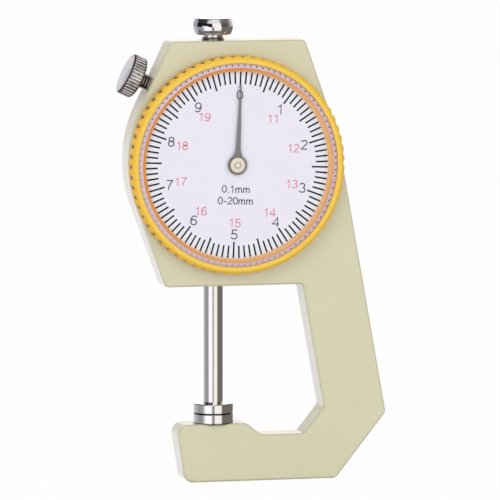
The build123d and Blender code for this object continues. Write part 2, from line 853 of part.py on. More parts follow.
nodes = {
    "frame": make_frame(),
    "back_cover": make_cover(),
    "back_cover_screws": make_cover_screws(),
    "upper_bush": make_upper_bush(),
    "lower_bush": make_lower_bush(),
    "anvil": make_anvil(),
    "spindle": make_spindle(),
    "spindle_foot": make_foot(),
    "lift_knob": make_lift_knob(),
    "rack": make_rack(),
    "rack_pin": rack_pin(rack_pin_zs[0], 0),
    "guide_pin": rack_pin(rack_pin_zs[1], -spindle_r - guide_pin_out),
    "spring_pin": make_spring_pin(),
    "spring_post": make_spring_post(),
    "return_spring": make_return_spring(),
    "pinion": make_pinion(),
    "pointer_arbor": make_arbor(),
    "arbor_bush": make_arbor_bush(),
    "arbor_bridge": make_bridge(),
    "bridge_screws": make_bridge_screws(),
    "hairspring": make_hairspring(),
    "hairspring_collet": make_collet(),
    "hairspring_stud": make_stud(),
    "pointer": make_pointer(),
    "pointer_cap": make_pointer_cap(),
    "dial": make_dial(),
    "bezel": make_bezel(),
    "crystal": make_crystal(),
    "bezel_wire": make_bezel_wire(),
    "lock_screw": make_lock_screw(),
    "lock_pad": make_lock_pad(),
}
for name, solid in nodes.items():
    export_step(solid, f"parts/{name}.step")
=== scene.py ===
from math import cos, pi, radians, sin, tan

import bmesh
import bpy
from mathutils import Matrix, Vector


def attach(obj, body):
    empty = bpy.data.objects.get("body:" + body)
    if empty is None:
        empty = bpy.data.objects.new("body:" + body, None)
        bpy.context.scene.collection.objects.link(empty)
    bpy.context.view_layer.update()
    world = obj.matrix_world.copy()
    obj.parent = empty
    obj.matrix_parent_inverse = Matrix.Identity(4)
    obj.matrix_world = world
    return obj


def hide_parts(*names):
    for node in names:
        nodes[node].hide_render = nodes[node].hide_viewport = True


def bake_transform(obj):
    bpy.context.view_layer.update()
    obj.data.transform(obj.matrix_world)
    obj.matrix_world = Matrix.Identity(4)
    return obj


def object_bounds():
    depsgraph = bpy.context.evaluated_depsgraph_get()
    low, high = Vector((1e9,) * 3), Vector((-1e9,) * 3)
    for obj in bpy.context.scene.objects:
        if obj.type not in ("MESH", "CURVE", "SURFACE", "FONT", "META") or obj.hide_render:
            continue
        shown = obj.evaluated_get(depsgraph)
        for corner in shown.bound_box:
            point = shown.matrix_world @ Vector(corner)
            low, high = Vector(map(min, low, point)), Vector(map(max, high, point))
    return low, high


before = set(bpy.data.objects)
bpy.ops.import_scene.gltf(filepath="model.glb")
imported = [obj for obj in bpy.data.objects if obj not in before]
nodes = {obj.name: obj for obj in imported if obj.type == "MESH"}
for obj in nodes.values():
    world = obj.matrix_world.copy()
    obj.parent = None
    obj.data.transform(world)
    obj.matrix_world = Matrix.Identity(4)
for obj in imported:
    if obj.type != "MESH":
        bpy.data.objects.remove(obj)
solids_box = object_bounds()

# Cast frame and back cover. A zinc casting with a hexagonal head, an arm and a jaw, sprayed all
# over in a matt beige-green enamel that leaves a faint orange-peel skin; the cover is sprayed too.
mm = 0.001


def shade(red, green, blue):
    """Colour given as it looks on a screen, 0 to 255, as the linear colour that a shader takes."""
    parts = [value / 255 for value in (red, green, blue)]
    return tuple(v / 12.92 if v <= 0.04045 else ((v + 0.055) / 1.055) ** 2.4 for v in parts) + (1.0,)


class Value:
    """One output of a node tree. Arithmetic on it adds the tree's Math nodes."""

    def __init__(self, recipe, node, output):
        self.recipe = recipe
        self.node = node
        self.output = output

    def also(self, output):
        """Another output of the same node."""
        return Value(self.recipe, self.node, output)

    def math(self, operation, other=0.0):
        return self.recipe.math(operation, self, other)

    def at_least(self, other):
        return self.math("MAXIMUM", other)

    def __add__(self, other):
        return self.math("ADD", other)

    def __sub__(self, other):
        return self.math("SUBTRACT", other)

    def __rsub__(self, other):
        return self.recipe.math("SUBTRACT", other, self)

    def __mul__(self, other):
        return self.math("MULTIPLY", other)

    def __truediv__(self, other):
        return self.math("DIVIDE", other)

    def __rtruediv__(self, other):
        return self.recipe.math("DIVIDE", other, self)

    def __gt__(self, other):
        return self.math("GREATER_THAN", other)

    def __abs__(self):
        return self.math("ABSOLUTE")

    __radd__ = __add__
    __rmul__ = __mul__


class Recipe:
    """A node tree that is written as expressions."""

    def __init__(self, tree):
        self.tree = tree

    def link(self, value, socket):
        self.tree.links.new(value.node.outputs[value.output], socket)

    def add(self, kind, settings, sockets, output=0):
        """Adds a node: its settings first, then the values or links of its sockets."""
        node = self.tree.nodes.new(kind)
        for name, value in settings.items():
            setattr(node, name, value)
        for name, value in sockets.items():
            if isinstance(value, Value):
                self.link(value, node.inputs[name])
            else:
                node.inputs[name].default_value = value
        return Value(self, node, output)

    def math(self, operation, first, second=0.0):
        return self.add("ShaderNodeMath", {"operation": operation}, {0: first, 1: second})

    def parts(self, vector):
        """X, Y and Z of a vector."""
        x = self.add("ShaderNodeSeparateXYZ", {}, {0: vector})
        return x, x.also("Y"), x.also("Z")

    def join(self, x, y):
        """Length of a vector with these two parts."""
        return (x * x + y * y).math("SQRT")

    def wrap(self, angle, step):
        """Angle from the nearest of the copies that stand this step apart round the axis."""
        sockets = {0: angle, 1: step / 2, 2: step / -2}
        return self.add("ShaderNodeMath", {"operation": "WRAP"}, sockets)

    def fade(self, value, low, high, start=0.0, end=1.0):
        """Smooth step from start to end as the value goes from low to high."""
        limits = {"From Min": low, "From Max": high, "To Min": start, "To Max": end}
        settings = {"interpolation_type": "SMOOTHSTEP"}
        return self.add("ShaderNodeMapRange", settings, {"Value": value, **limits})

    def band(self, value, start, full, ebb, end):
        """Mask that rises from start to full and falls again from ebb to end."""
        return self.fade(value, start, full) * self.fade(value, end, ebb)

    def between(self, mask, first, second):
        """Colour that goes from the first to the second as the mask goes from 0 to 1."""
        sockets = {0: mask, 6: first, 7: second}
        return self.add("ShaderNodeMix", {"data_type": "RGBA"}, sockets, 2)


class Finish(Recipe):
    """A surface finish: plain settings on its shader, and what varies over the surface."""

    def __init__(self, name, colour, **plain):
        self.material = bpy.data.materials.new(name)
        self.material.use_nodes = True
        super().__init__(self.material.node_tree)
        self.shader = self.tree.nodes["Principled BSDF"]
        self.shader.inputs["Base Color"].default_value = colour
        for socket, value in plain.items():
            self.shader.inputs[socket.replace("_", " ")].default_value = value
        self.place = self.add("ShaderNodeTexCoord", {}, {}, "Object")

    def vary(self, socket, value):
        self.link(value, self.shader.inputs[socket])

    def noise(self, size, detail=2.0, stretch=(1, 1, 1)):
        """Cloudy noise with features about this size, longer where stretch is more than 1."""
        scale = [1 / part for part in stretch]
        stretched = self.add("ShaderNodeMapping", {}, {"Vector": self.place, "Scale": scale})
        sockets = {"Vector": stretched, "Scale": 1 / size, "Detail": detail}
        return self.add("ShaderNodeTexNoise", {}, sockets)

    def mottle(self, mark, dark, pale):
        """Lets the colour wander between two shades with a noise."""
        self.vary("Base Color", self.between(mark, dark, pale))

    def rub(self, mark, smooth, rough, low=0.3, high=0.7):
        """Lets the roughness wander from smooth to rough as a noise goes from low to high."""
        self.vary("Roughness", self.fade(mark, low, high, smooth, rough))

    def bumps(self, height, depth, strength=1.0):
        sockets = {"Height": height, "Distance": depth, "Strength": strength}
        self.vary("Normal", self.add("ShaderNodeBump", {}, sockets))

    def on(self, *names):
        """Gives this finish to CAD nodes."""
        for name in names:
            for slot in nodes[name].material_slots:
                slot.material = self.material


enamel_coat = {"Coat_Weight": 1.0, "Coat_Roughness": 0.22, "Coat_IOR": 1.8}
enamel = Finish("beige_enamel", shade(217, 212, 175), Specular_IOR_Level=0.8, **enamel_coat)
enamel.mottle(enamel.noise(7 * mm, 3.0), shade(214, 209, 171), shade(219, 215, 180))
enamel_peel = enamel.noise(0.35 * mm, 2.0) + enamel.noise(1.4 * mm, 1.0)
enamel.vary("Roughness", enamel.fade(enamel_peel, 0.6, 1.4, 0.38, 0.48))
enamel.bumps(enamel_peel, 0.02 * mm, 0.35)
enamel.on("frame", "back_cover")
nodes["frame"].visible_glossy = False

# Movement inside the case. Bushes, bridge, pinion, collet and the lock screw's pad are turned and
# milled brass; arbor, rack, pins, post, springs and the small slotted screws are bright steel.
brass = Finish("turned_brass", shade(205, 170, 100), Metallic=1.0, Roughness=0.3)
brass_mark = brass.noise(0.15 * mm, 2.0, (1, 6, 1))
brass.mottle(brass_mark, shade(196, 160, 92), shade(214, 180, 112))
brass.rub(brass_mark, 0.24, 0.36)
brass.on("lower_bush", "arbor_bush", "arbor_bridge", "pinion", "hairspring_collet", "lock_pad")

bright_steel = Finish("bright_steel", shade(200, 199, 197), Metallic=1.0, Roughness=0.28)
steel_mark = bright_steel.noise(0.12 * mm, 2.0, (1, 1, 5))
bright_steel.mottle(steel_mark, shade(192, 191, 189), shade(209, 208, 206))
bright_steel.rub(steel_mark, 0.22, 0.34)
bright_steel.on("back_cover_screws", "bridge_screws", "rack", "rack_pin", "guide_pin")
bright_steel.on("spring_pin", "spring_post", "return_spring", "pointer_arbor")
bright_steel.on("hairspring", "hairspring_stud", "bezel_wire")

# Measuring line. The spindle is ground steel; its foot and the fixed anvil are turned discs with
# lapped faces. Fine tool marks run round all three. The discs' chamfers at those faces, and the
# anvil's edge where it sits on the jaw, are painted dark: painted shade in the gap between the
# discs, and a painted contact shadow on the jaw.
disc_r = 4.9 * mm
anvil_high = 2.4 * mm
ground = Finish("ground_steel", shade(246, 244, 242), Metallic=1.0, Roughness=0.13)
ground_mark = ground.noise(0.05 * mm, 3.0, (60, 60, 1))
ground_x, ground_y, ground_z = ground.parts(ground.place)
ground_in = (disc_r - ground.join(ground_x, ground_y)) / mm
ground_up = (ground_z + anvil_high) / mm
# Painted shade at the chamfers between the discs and a painted contact shadow at the anvil's foot.
ground_gap_painted_shade = ground.fade(abs(ground_z) / mm, 0.19, 0.14) * ground.fade(ground_in, 0.3, 0.22)
ground_contact_painted_shadow = ground.fade(ground_up, 0.28, 0.14)
ground_painted_shade = (ground_gap_painted_shade * 0.9).at_least(ground_contact_painted_shadow * 0.8)
ground_tone = ground.between(ground_mark, shade(240, 238, 236), shade(250, 248, 246))
ground.vary("Base Color", ground.between(ground_painted_shade, ground_tone, shade(62, 54, 50)))
ground.rub(ground_mark, 0.1, 0.16)
ground.bumps(ground_mark, 0.002 * mm, 0.5)
ground.on("spindle", "spindle_foot", "anvil")

# Lift knob and upper bush. The knob is turned with rounded edges, plated, and screwed on top of
# the spindle. The bush is let into the head, and its flared nose is polished; its metal is given a
# darker colour than the knob's plating, as a painted dark reflection of the knob's underside.
chrome = Finish("chrome_plate", shade(243, 243, 246), Metallic=1.0, Roughness=0.07)
chrome_haze = chrome.noise(1.2 * mm, 3.0)
chrome.mottle(chrome_haze, shade(238, 238, 241), shade(248, 248, 250))
chrome.rub(chrome_haze, 0.05, 0.12, high=0.8)
chrome.on("lift_knob")

# Darker metal colour: a painted dark reflection of the knob's underside above the nose.
nose = Finish("polished_nose", shade(150, 148, 146), Metallic=1.0, Roughness=0.08)
nose_haze = nose.noise(0.8 * mm, 2.0)
nose.mottle(nose_haze, shade(140, 138, 136), shade(160, 158, 156))
nose.rub(nose_haze, 0.06, 0.12, high=0.8)
nose.on("upper_bush")

# Lock screw. Chromed thumb screw square to the head's upper left side: a disc with a straight
# knurl and a slightly domed face, on a threaded shank that shows between knob and casting.
screw_origin = Vector((0, 0, 73.38)) * mm
screw_lean = radians(25.7)
screw_out = Vector((-cos(screw_lean), 0, sin(screw_lean)))
screw_side = Vector((0, 1, 0))
screw_up = screw_out.cross(screw_side)
screw_place = Matrix((screw_side, screw_up, screw_out)).transposed().to_4x4()
screw_place.translation = screw_origin
screw_low = 7.92 * mm
screw_knob_low = 20.6 * mm
screw_knob_high = 24.2 * mm
screw_knob_r = 5.15 * mm
screw_thread_r = 1.95 * mm
screw_root_r = 1.6 * mm
screw_pitch = 0.7 * mm
screw_teeth = 36
tooth_steps = 16
metal_crease = 40.0


def soften(corners, closed=False):
    """Section line in (radius, height): each corner carries its own rounding."""
    points = []
    for i, (x, y, r) in enumerate(corners):
        here = Vector((x, y))
        at_end = not closed and i in (0, len(corners) - 1)
        if r == 0 or at_end:
            points.append(here)
            continue
        back = Vector(corners[i - 1][:2]) - here
        ahead = Vector(corners[(i + 1) % len(corners)][:2]) - here
        run = min(r / tan(back.angle(ahead) / 2), 0.49 * back.length, 0.49 * ahead.length)
        start = here + back.normalized() * run
        end = here + ahead.normalized() * run
        for t in (0.0, 0.25, 0.5, 0.75, 1.0):
            points.append((1 - t) ** 2 * start + 2 * t * (1 - t) * here + t * t * end)
    return points


def smooth(data, crease):
    """Smooth shading, with an edge kept sharp where its faces meet at more than the crease."""
    data.shade_smooth()
    data.set_sharp_from_angle(angle=radians(crease))


def finished(name, mesh, material, place=Matrix.Identity(4), crease=35.0):
    """Object at the origin from a bmesh, with its place in the mesh and its normals outward."""
    bmesh.ops.remove_doubles(mesh, verts=mesh.verts, dist=1e-7)
    bmesh.ops.recalc_face_normals(mesh, faces=mesh.faces)
    data = bpy.data.meshes.new(name)
    mesh.to_mesh(data)
    mesh.free()
    data.transform(place)
    data.materials.clear()
    data.materials.append(material)
    smooth(data, crease)
    piece = bpy.data.objects.new(name, data)
    bpy.context.collection.objects.link(piece)
    return piece


def spun(section, steps, closed=False):
    """Bmesh turned about Z from a section line; an open line starts and ends on the axis."""
    mesh = bmesh.new()
    rings = []
    for radius, height in section:
        if radius < 1e-9:
            rings.append([mesh.verts.new((0, 0, height))])
            continue
        turns = [2 * pi * k / steps for k in range(steps)]
        rings.append([mesh.verts.new((radius * cos(a), radius * sin(a), height)) for a in turns])
    after = rings[1:] + rings[:1] if closed else rings[1:]
    for low, high in zip(rings, after):
        for k in range(steps):
            n = (k + 1) % steps
            loop = [low[k % len(low)], low[n % len(low)], high[n % len(high)], high[k % len(high)]]
            # A ring on the axis is a single point, so its faces lose a corner.
            mesh.faces.new(list(dict.fromkeys(loop)))
    return mesh


class Shaper(Recipe):
    """A Geometry Nodes tree with named number inputs."""

    def __init__(self, name, **sizes):
        super().__init__(bpy.data.node_groups.new(name, "GeometryNodeTree"))
        outside = self.tree.interface
        outside.new_socket("Geometry", in_out="INPUT", socket_type="NodeSocketGeometry")
        outside.new_socket("Geometry", in_out="OUTPUT", socket_type="NodeSocketGeometry")
        self.names = {}
        for label, size in sizes.items():
            kind = "NodeSocketInt" if isinstance(size, int) else "NodeSocketFloat"
            socket = outside.new_socket(label, in_out="INPUT", socket_type=kind)
            socket.default_value = size
            self.names[label] = socket.identifier
        self.start = self.add("NodeGroupInput", {}, {})
        self.place = self.add("GeometryNodeInputPosition", {}, {})

    def size(self, label):
        return self.start.also(label)

    def end(self, geometry, material):
        real = self.add("GeometryNodeRealizeInstances", {}, {"Geometry": geometry})
        dressed = self.add("GeometryNodeSetMaterial", {}, {"Geometry": real, "Material": material})
        self.add("NodeGroupOutput", {}, {0: dressed})

    def end_pulled(self, place, share, material):
        """Ends the tree with each point drawn towards Z, to this share of its distance."""
        x, y, z = place
        moved = self.add("ShaderNodeCombineXYZ", {}, {"X": x * share, "Y": y * share, "Z": z})
        sockets = {"Geometry": self.start, "Position": moved}
        self.end(self.add("GeometryNodeSetPosition", {}, sockets), material)

    def run(self, piece, **sizes):
        """Runs the tree on a piece and keeps the result as its plain mesh."""
        live = piece.modifiers.new("shape", "NODES")
        live.node_group = self.tree
        for label, size in sizes.items():
            live[self.names[label]] = size
        ready = piece.evaluated_get(bpy.context.evaluated_depsgraph_get())
        plain = bpy.data.meshes.new_from_object(ready)
        piece.modifiers.clear()
        piece.data = plain


def knurl_shaper(material):
    """Pulls a turned piece in along round-bottomed grooves, evenly spaced round Z."""
    tree = Shaper("straight_knurl", Teeth=36, Rim=1.0, Groove=0.1, Deep=0.1)
    x, y, z = tree.parts(tree.place)
    radius = tree.join(x, y)
    turn = tree.wrap(y.math("ARCTAN2", x), 2 * pi / tree.size("Teeth"))
    centre = tree.size("Rim") - tree.size("Deep") + tree.size("Groove")
    aside = centre * turn.math("SINE")
    inside = tree.size("Groove") * tree.size("Groove") - aside * aside
    wall = centre * turn.math("COSINE") - inside.at_least(0.0).math("SQRT")
    cut = (inside > 0.0) * (radius > wall)
    tree.end_pulled((x, y, z), 1 - cut * (1 - wall / radius), material)
    return tree


def thread_shaper(material):
    """Cuts a single thread into a rod along Z, with flats at its crest and its root."""
    tree = Shaper("screw_thread", Pitch=1.0, Root=0.8, Crest=1.0)
    x, y, z = tree.parts(tree.place)
    turn = y.math("ARCTAN2", x) / (2 * pi)
    saw = (z / tree.size("Pitch") - turn).math("PINGPONG", 0.5) * 2
    steep = 1.35
    flank = tree.add("ShaderNodeClamp", {}, {"Value": (saw - 0.5) * steep + 0.5})
    wall = tree.size("Root") + (tree.size("Crest") - tree.size("Root")) * flank
    radius = tree.join(x, y)
    skin = radius > tree.size("Root") * 0.9
    tree.end_pulled((x, y, z), 1 - skin * (1 - wall / radius.at_least(1e-6)), material)
    return tree


knurled = Finish("knurled_chrome", shade(232, 231, 231), Metallic=1.0, Roughness=0.16)


def along_screw(direction):
    """Distance from the lock screw's origin along one of its own directions."""
    sockets = {0: knurled.place, 1: direction}
    run = knurled.add("ShaderNodeVectorMath", {"operation": "DOT_PRODUCT"}, sockets, "Value")
    return run - screw_origin.dot(direction)


# Distances in millimetres from the knob's rim, face and back and from the thread's crest.
knurl_r = knurled.join(along_screw(screw_side), along_screw(screw_up))
knurl_z = along_screw(screw_out)
under_rim = (screw_knob_r - knurl_r) / mm
under_crest = (screw_thread_r - knurl_r) / mm
under_face = (screw_knob_high - knurl_z) / mm
over_back = (knurl_z - screw_knob_low) / mm
# Painted near black: painted shade in the knurl's grooves, in patches, and at the thread's root by
# the knob, and a painted dark reflection in a ring round the face's edge.
groove_ends = knurled.fade(over_back, 0.0, 0.1) * knurled.fade(under_face, -0.1, 0.05)
groove_shade_patches = knurled.fade(knurled.noise(0.9 * mm, 2.0), 0.35, 0.6, 0.2, 0.8)
groove_painted_shade = knurled.fade(under_rim, 0.1, 0.2) * groove_ends * groove_shade_patches
root_painted_shade = knurled.fade(under_crest, 0.06, 0.2) * knurled.fade(over_back, 0.0, -0.05)
edge_painted_reflection = knurled.band(under_rim, 0.02, 0.1, 0.6, 0.75)
edge_painted_reflection = edge_painted_reflection * knurled.band(under_face, -0.04, 0.06, 0.3, 0.45)
knurl_painted_dark = groove_painted_shade.at_least(root_painted_shade).at_least(edge_painted_reflection) * 0.9
knurled.mottle(knurl_painted_dark, shade(232, 231, 231), shade(40, 34, 30))
knurled.rub(knurled.noise(0.5 * mm, 2.0), 0.1, 0.22, high=0.8)

knob_dome = 0.35 * mm
knob_span = screw_knob_high - screw_knob_low
knurl_low = screw_knob_low + 0.12 * knob_span
knurl_long = 0.76 * knob_span
knurl_rows = 6
knob_section = soften([
    (0, screw_knob_low, 0),
    (screw_thread_r, screw_knob_low, 0),
    (screw_knob_r - 0.42 * mm, screw_knob_low, 0.1 * mm),
    *[(screw_knob_r, knurl_low + knurl_long * k / knurl_rows, 0) for k in range(knurl_rows + 1)],
    (screw_knob_r - 0.3 * mm, screw_knob_high, 0.12 * mm),
    (screw_knob_r - 0.9 * mm, screw_knob_high + 0.1 * mm, 0.3 * mm),
    (screw_knob_r / 2, screw_knob_high + 0.8 * knob_dome, 1.0 * mm),
    (0, screw_knob_high + knob_dome, 0),
])
knob_mesh = spun(knob_section, screw_teeth * tooth_steps)
screw_knob = finished("lock_screw_knob", knob_mesh, knurled.material)
knurl = knurl_shaper(knurled.material)
knurl.run(screw_knob, Teeth=screw_teeth, Rim=screw_knob_r, Groove=0.3 * mm, Deep=0.22 * mm)

thread_high = screw_knob_low + 0.2 * mm
thread_long = thread_high - screw_low
thread_steps = 48
thread_rows = int(thread_long / (screw_pitch / 10))
thread_section = [
    (0, screw_low),
    *[(screw_thread_r, screw_low + thread_long * k / thread_rows) for k in range(thread_rows + 1)],
    (0, thread_high),
]
screw_thread = finished("lock_screw_thread", spun(thread_section, thread_steps), knurled.material)
thread = thread_shaper(knurled.material)
thread.run(screw_thread, Pitch=screw_pitch, Root=screw_root_r, Crest=screw_thread_r)

for piece in (screw_knob, screw_thread):
    piece.data.transform(screw_place)
    smooth(piece.data, metal_crease)
    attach(piece, "lock_screw")
    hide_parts("lock_screw")

# Return spring. Steel wire wound close, hooked on the post in the case and on the spindle's pin;
# the real spring stretches as the spindle is lifted, each coil by its share; here its coils are a
# still copy of the CAD node's mesh.
spring_wire = bmesh.new()
spring_wire.from_mesh(nodes["return_spring"].data)
spring_wire.transform(nodes["return_spring"].matrix_world)
spring_coils = finished("return_spring_coils", spring_wire, bright_steel.material, crease=60.0)
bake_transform(spring_coils)
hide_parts("return_spring")

# Bezel. A turned ring with a coarse scalloped rim for the fingers, yellow all over; its inner
# ledge shows orange under the crystal. It turns on the casting's boss and carries the dial.
dial_x = 4.75 * mm
dial_z = 61.3 * mm
case_front = 4.0 * mm
dial_frame = Matrix(((1, 0, 0), (0, 0, -1), (0, 1, 0))).to_4x4()
dial_frame.translation = (dial_x, -case_front, dial_z)
bezel_teeth = 66
bezel_r = 26.8 * mm
bezel_back = 0.3 * mm
bezel_front = 3.4 * mm
bezel_bore_r = 24.93 * mm
crystal_seat_r = 24.92 * mm
ledge_r = 22.94 * mm
ledge_front = 2.67 * mm
dial_seat_r = 24.02 * mm
dial_front = 1.6 * mm
dial_back = 1.18 * mm

yellow = Finish("yellow_lacquer", shade(246, 204, 74), Roughness=0.34)


def from_dial_centre(finish):
    """Distance from the dial's axis, turn round it from the right, and height over the casting."""
    x, y, z = finish.parts(finish.place)
    right = x - dial_x
    up = z - dial_z
    return finish.join(right, up), up.math("ARCTAN2", right), -case_front - y


yellow_r, yellow_turn, yellow_high = from_dial_centre(yellow)
tooth_turn = 2 * pi / bezel_teeth
yellow_tooth = abs(yellow.wrap(yellow_turn, tooth_turn))
yellow_notch_painted_shade = yellow.fade(yellow_tooth, 0.24 * tooth_turn, 0.08 * tooth_turn)
yellow_flank = yellow.fade((bezel_front - yellow_high) / mm, 0.35, 0.7)
yellow_crown = yellow.fade((bezel_r - yellow_r) / mm, 1.05, 0.7)
yellow_ledge = yellow.fade((crystal_seat_r - yellow_r) / mm, -0.03, 0.07)
# The ledge's orange is paler on the right and darker on the left: painted light and shade.
ledge_painted_light_side = yellow.fade((yellow_turn + radians(25)).math("COSINE"), -0.7, 0.8)
orange = yellow.between(ledge_painted_light_side, shade(232, 156, 70), shade(244, 190, 128))
yellow_tone = yellow.between(yellow.noise(3 * mm, 3.0), shade(247, 204, 70), shade(250, 212, 92))
# The flank is mixed towards a paler cream yellow as a painted highlight on its crests, and the
# notches' bottoms on it are painted dark brown as painted shade.
for mask, tone in (
    (yellow_crown, shade(243, 190, 52)),
    (yellow_flank * 0.7, shade(240, 190, 96)),
    (yellow_notch_painted_shade * yellow_flank * 0.85, shade(122, 82, 14)),
    (yellow_ledge, orange),
):
    yellow_tone = yellow.between(mask, yellow_tone, tone)
yellow.vary("Base Color", yellow_tone)
yellow_grain = yellow.noise(0.12 * mm, 2.0)
yellow.vary("Roughness", yellow.fade(yellow_grain, 0.3, 0.7, 0.3, 0.4) + 0.4 * yellow_flank)
yellow.bumps(yellow_grain, 0.004 * mm, 0.4)

grip_low = bezel_back + 0.15 * mm
grip_long = 2.0 * mm
grip_rows = 5
bezel_section = [
    (bezel_bore_r, bezel_back, 0),
    (bezel_r - 0.1 * mm, bezel_back, 0.1 * mm),
    *[(bezel_r, grip_low + grip_long * k / grip_rows, 0) for k in range(grip_rows + 1)],
    (bezel_r - 0.06 * mm, bezel_front - 0.65 * mm, 0.2 * mm),
    (bezel_r - 0.28 * mm, bezel_front - 0.4 * mm, 0.2 * mm),
    (bezel_r - 0.85 * mm, bezel_front - 0.06 * mm, 0.3 * mm),
    (bezel_r - 1.2 * mm, bezel_front, 0.2 * mm),
    (crystal_seat_r, bezel_front, 0.05 * mm),
    (crystal_seat_r, ledge_front, 0),
    (ledge_r, ledge_front, 0.05 * mm),
    (ledge_r, dial_front, 0),
    (dial_seat_r, dial_front, 0),
    (dial_seat_r, dial_back, 0),
    (bezel_bore_r, dial_back, 0),
]
bezel_mesh = spun(soften(bezel_section, closed=True), bezel_teeth * tooth_steps, closed=True)
bezel = finished("bezel_ring", bezel_mesh, yellow.material)
bezel_knurl = knurl_shaper(yellow.material)
bezel_knurl.run(bezel, Teeth=bezel_teeth, Rim=bezel_r, Groove=1.1 * mm, Deep=0.42 * mm)
bezel.data.transform(dial_frame)
smooth(bezel.data, metal_crease)
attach(bezel, "bezel_set")
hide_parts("bezel")

# Dial. A lacquered sheet metal disc, white with a lavender cast, printed with a hundred divisions
# and two rings of figures for the two turns; it sits a little clockwise, as set by hand.
face = Finish("dial_lacquer", shade(242, 240, 252), Roughness=0.5)
face_tone = face.between(face.noise(6 * mm, 2.0), shade(240, 238, 250), shade(244, 242, 254))
# The dial's outer band is painted paler and bluer, as painted light that lifts the ledge's shade
# there.
face_rim_painted_light = face.fade(from_dial_centre(face)[0], 18.5 * mm, 20.5 * mm)
face.vary("Base Color", face.between(face_rim_painted_light, face_tone, shade(242, 246, 255)))
face.bumps(face.noise(0.1 * mm, 2.0), 0.002 * mm, 0.3)
face.on("dial")


def ink(name, gloss, middle, dark, pale):
    """Printing ink, worn a little paler here and there."""
    finish = Finish(name, middle, Roughness=0.6, Specular_IOR_Level=gloss)
    finish.mottle(finish.noise(0.25 * mm, 2.0), dark, pale)
    return finish.material


black_ink = ink("black_ink", 0.1, shade(12, 8, 24), shade(6, 4, 18), shade(22, 16, 40))
grey_ink = ink("grey_ink", 0.2, shade(78, 76, 86), shade(66, 64, 76), shade(94, 92, 102))
red_ink = ink("red_ink", 0.2, shade(232, 118, 142), shade(228, 108, 134), shade(238, 132, 154))

print_high = 0.02 * mm
dial_turn = radians(2.4)
print_place = dial_frame @ Matrix.Translation((0, 0, dial_front))
print_place = print_place @ Matrix.Rotation(-dial_turn, 4, "Z")
divisions_count = 100


def marks_shaper(material):
    """Bars round a circle that point to its centre; every so many there is a long one."""
    sizes = {"Outer": 1.0, "Short": 0.1, "Long": 0.2, "Wide": 0.01, "High": 0.001}
    tree = Shaper("dial_marks", Count=100, Every=5, **sizes)
    sockets = {"Vertices": tree.size("Count"), "Radius": tree.size("Outer")}
    ring = tree.add("GeometryNodeMeshCircle", {}, sockets)
    number = tree.add("GeometryNodeInputIndex", {}, {})
    is_long = number.math("MODULO", tree.size("Every")).math("COMPARE", 0.0)
    reach = tree.size("Short") + (tree.size("Long") - tree.size("Short")) * is_long
    facing = tree.add("FunctionNodeAlignRotationToVector", {"axis": "X"}, {"Vector": tree.place})
    bar = tree.add("GeometryNodeMeshCube", {}, {"Size": (1, 1, 1)})
    inward = tree.add("GeometryNodeTransform", {}, {"Geometry": bar, "Translation": (-0.5, 0, 0)})
    sockets = {"X": reach, "Y": tree.size("Wide"), "Z": tree.size("High")}
    scale = tree.add("ShaderNodeCombineXYZ", {}, sockets)
    sockets = {"Points": ring, "Instance": inward, "Rotation": facing, "Scale": scale}
    tree.end(tree.add("GeometryNodeInstanceOnPoints", {}, sockets), material)
    return tree


divisions = finished("dial_divisions", bmesh.new(), black_ink)
marks_shaper(black_ink).run(
    divisions,
    Count=divisions_count,
    Every=5,
    Outer=22.8 * mm,
    Short=3.0 * mm,
    Long=4.0 * mm,
    Wide=0.4 * mm,
    High=2 * print_high,
)
divisions.data.transform(print_place)


def bow(x, y, wide, high, start, end):
    """Part of an oval stroke: its middle, half width and half height, and its ends in degrees."""
    count = max(4, int(abs(end - start) / 18))
    turns = [radians(start + (end - start) * k / count) for k in range(count + 1)]
    return [(x + wide * cos(a), y + high * sin(a)) for a in turns]


# Strokes of each figure on a box one high, drawn as an engraver's cutter would follow them.
strokes = {
    "0": [bow(0.28, 0.5, 0.23, 0.45, 90, 450)],
    "1": [[(0.12, 0.74), (0.25, 0.82), (0.33, 0.95), (0.33, 0.0)]],
    "2": [bow(0.28, 0.71, 0.22, 0.24, 170, -42) + [(0.05, 0.05), (0.52, 0.05)]],
    "3": [bow(0.26, 0.73, 0.2, 0.22, 160, -80), bow(0.26, 0.28, 0.24, 0.24, 80, -160)],
    "4": [[(0.42, 0.0), (0.42, 0.95), (0.02, 0.3), (0.56, 0.3)]],
    "5": [[(0.49, 0.95), (0.14, 0.95), (0.09, 0.52)] + bow(0.27, 0.32, 0.24, 0.28, 130, -160)],
    "6": [bow(0.28, 0.32, 0.23, 0.27, 180, 540), bow(0.34, 0.46, 0.29, 0.49, 180, 50)],
    "7": [[(0.04, 0.95), (0.52, 0.95), (0.34, 0.62), (0.23, 0.3), (0.2, 0.0)]],
    "8": [bow(0.28, 0.74, 0.19, 0.21, 90, 450), bow(0.28, 0.29, 0.23, 0.25, 90, 450)],
    "9": [bow(0.28, 0.66, 0.23, 0.28, 0, 360), bow(0.22, 0.53, 0.29, 0.49, 0, -130)],
    "m": [
        [(0.06, 0.0), (0.06, 0.68)],
        [(0.06, 0.42)] + bow(0.22, 0.45, 0.15, 0.22, 150, 0) + [(0.37, 0.0)],
        [(0.37, 0.42)] + bow(0.53, 0.45, 0.15, 0.22, 150, 0) + [(0.68, 0.0)],
    ],
    ".": [[(0.14, 0.0), (0.14, 0.1)]],
    "-": [[(0.04, 0.36), (0.36, 0.36)]],
}
figure_step = 0.6
other_steps = {"m": 0.84, ".": 0.28, "-": 0.44}
figure_gap = 0.04
figure_middle = 0.48
figure_wide = 1.28


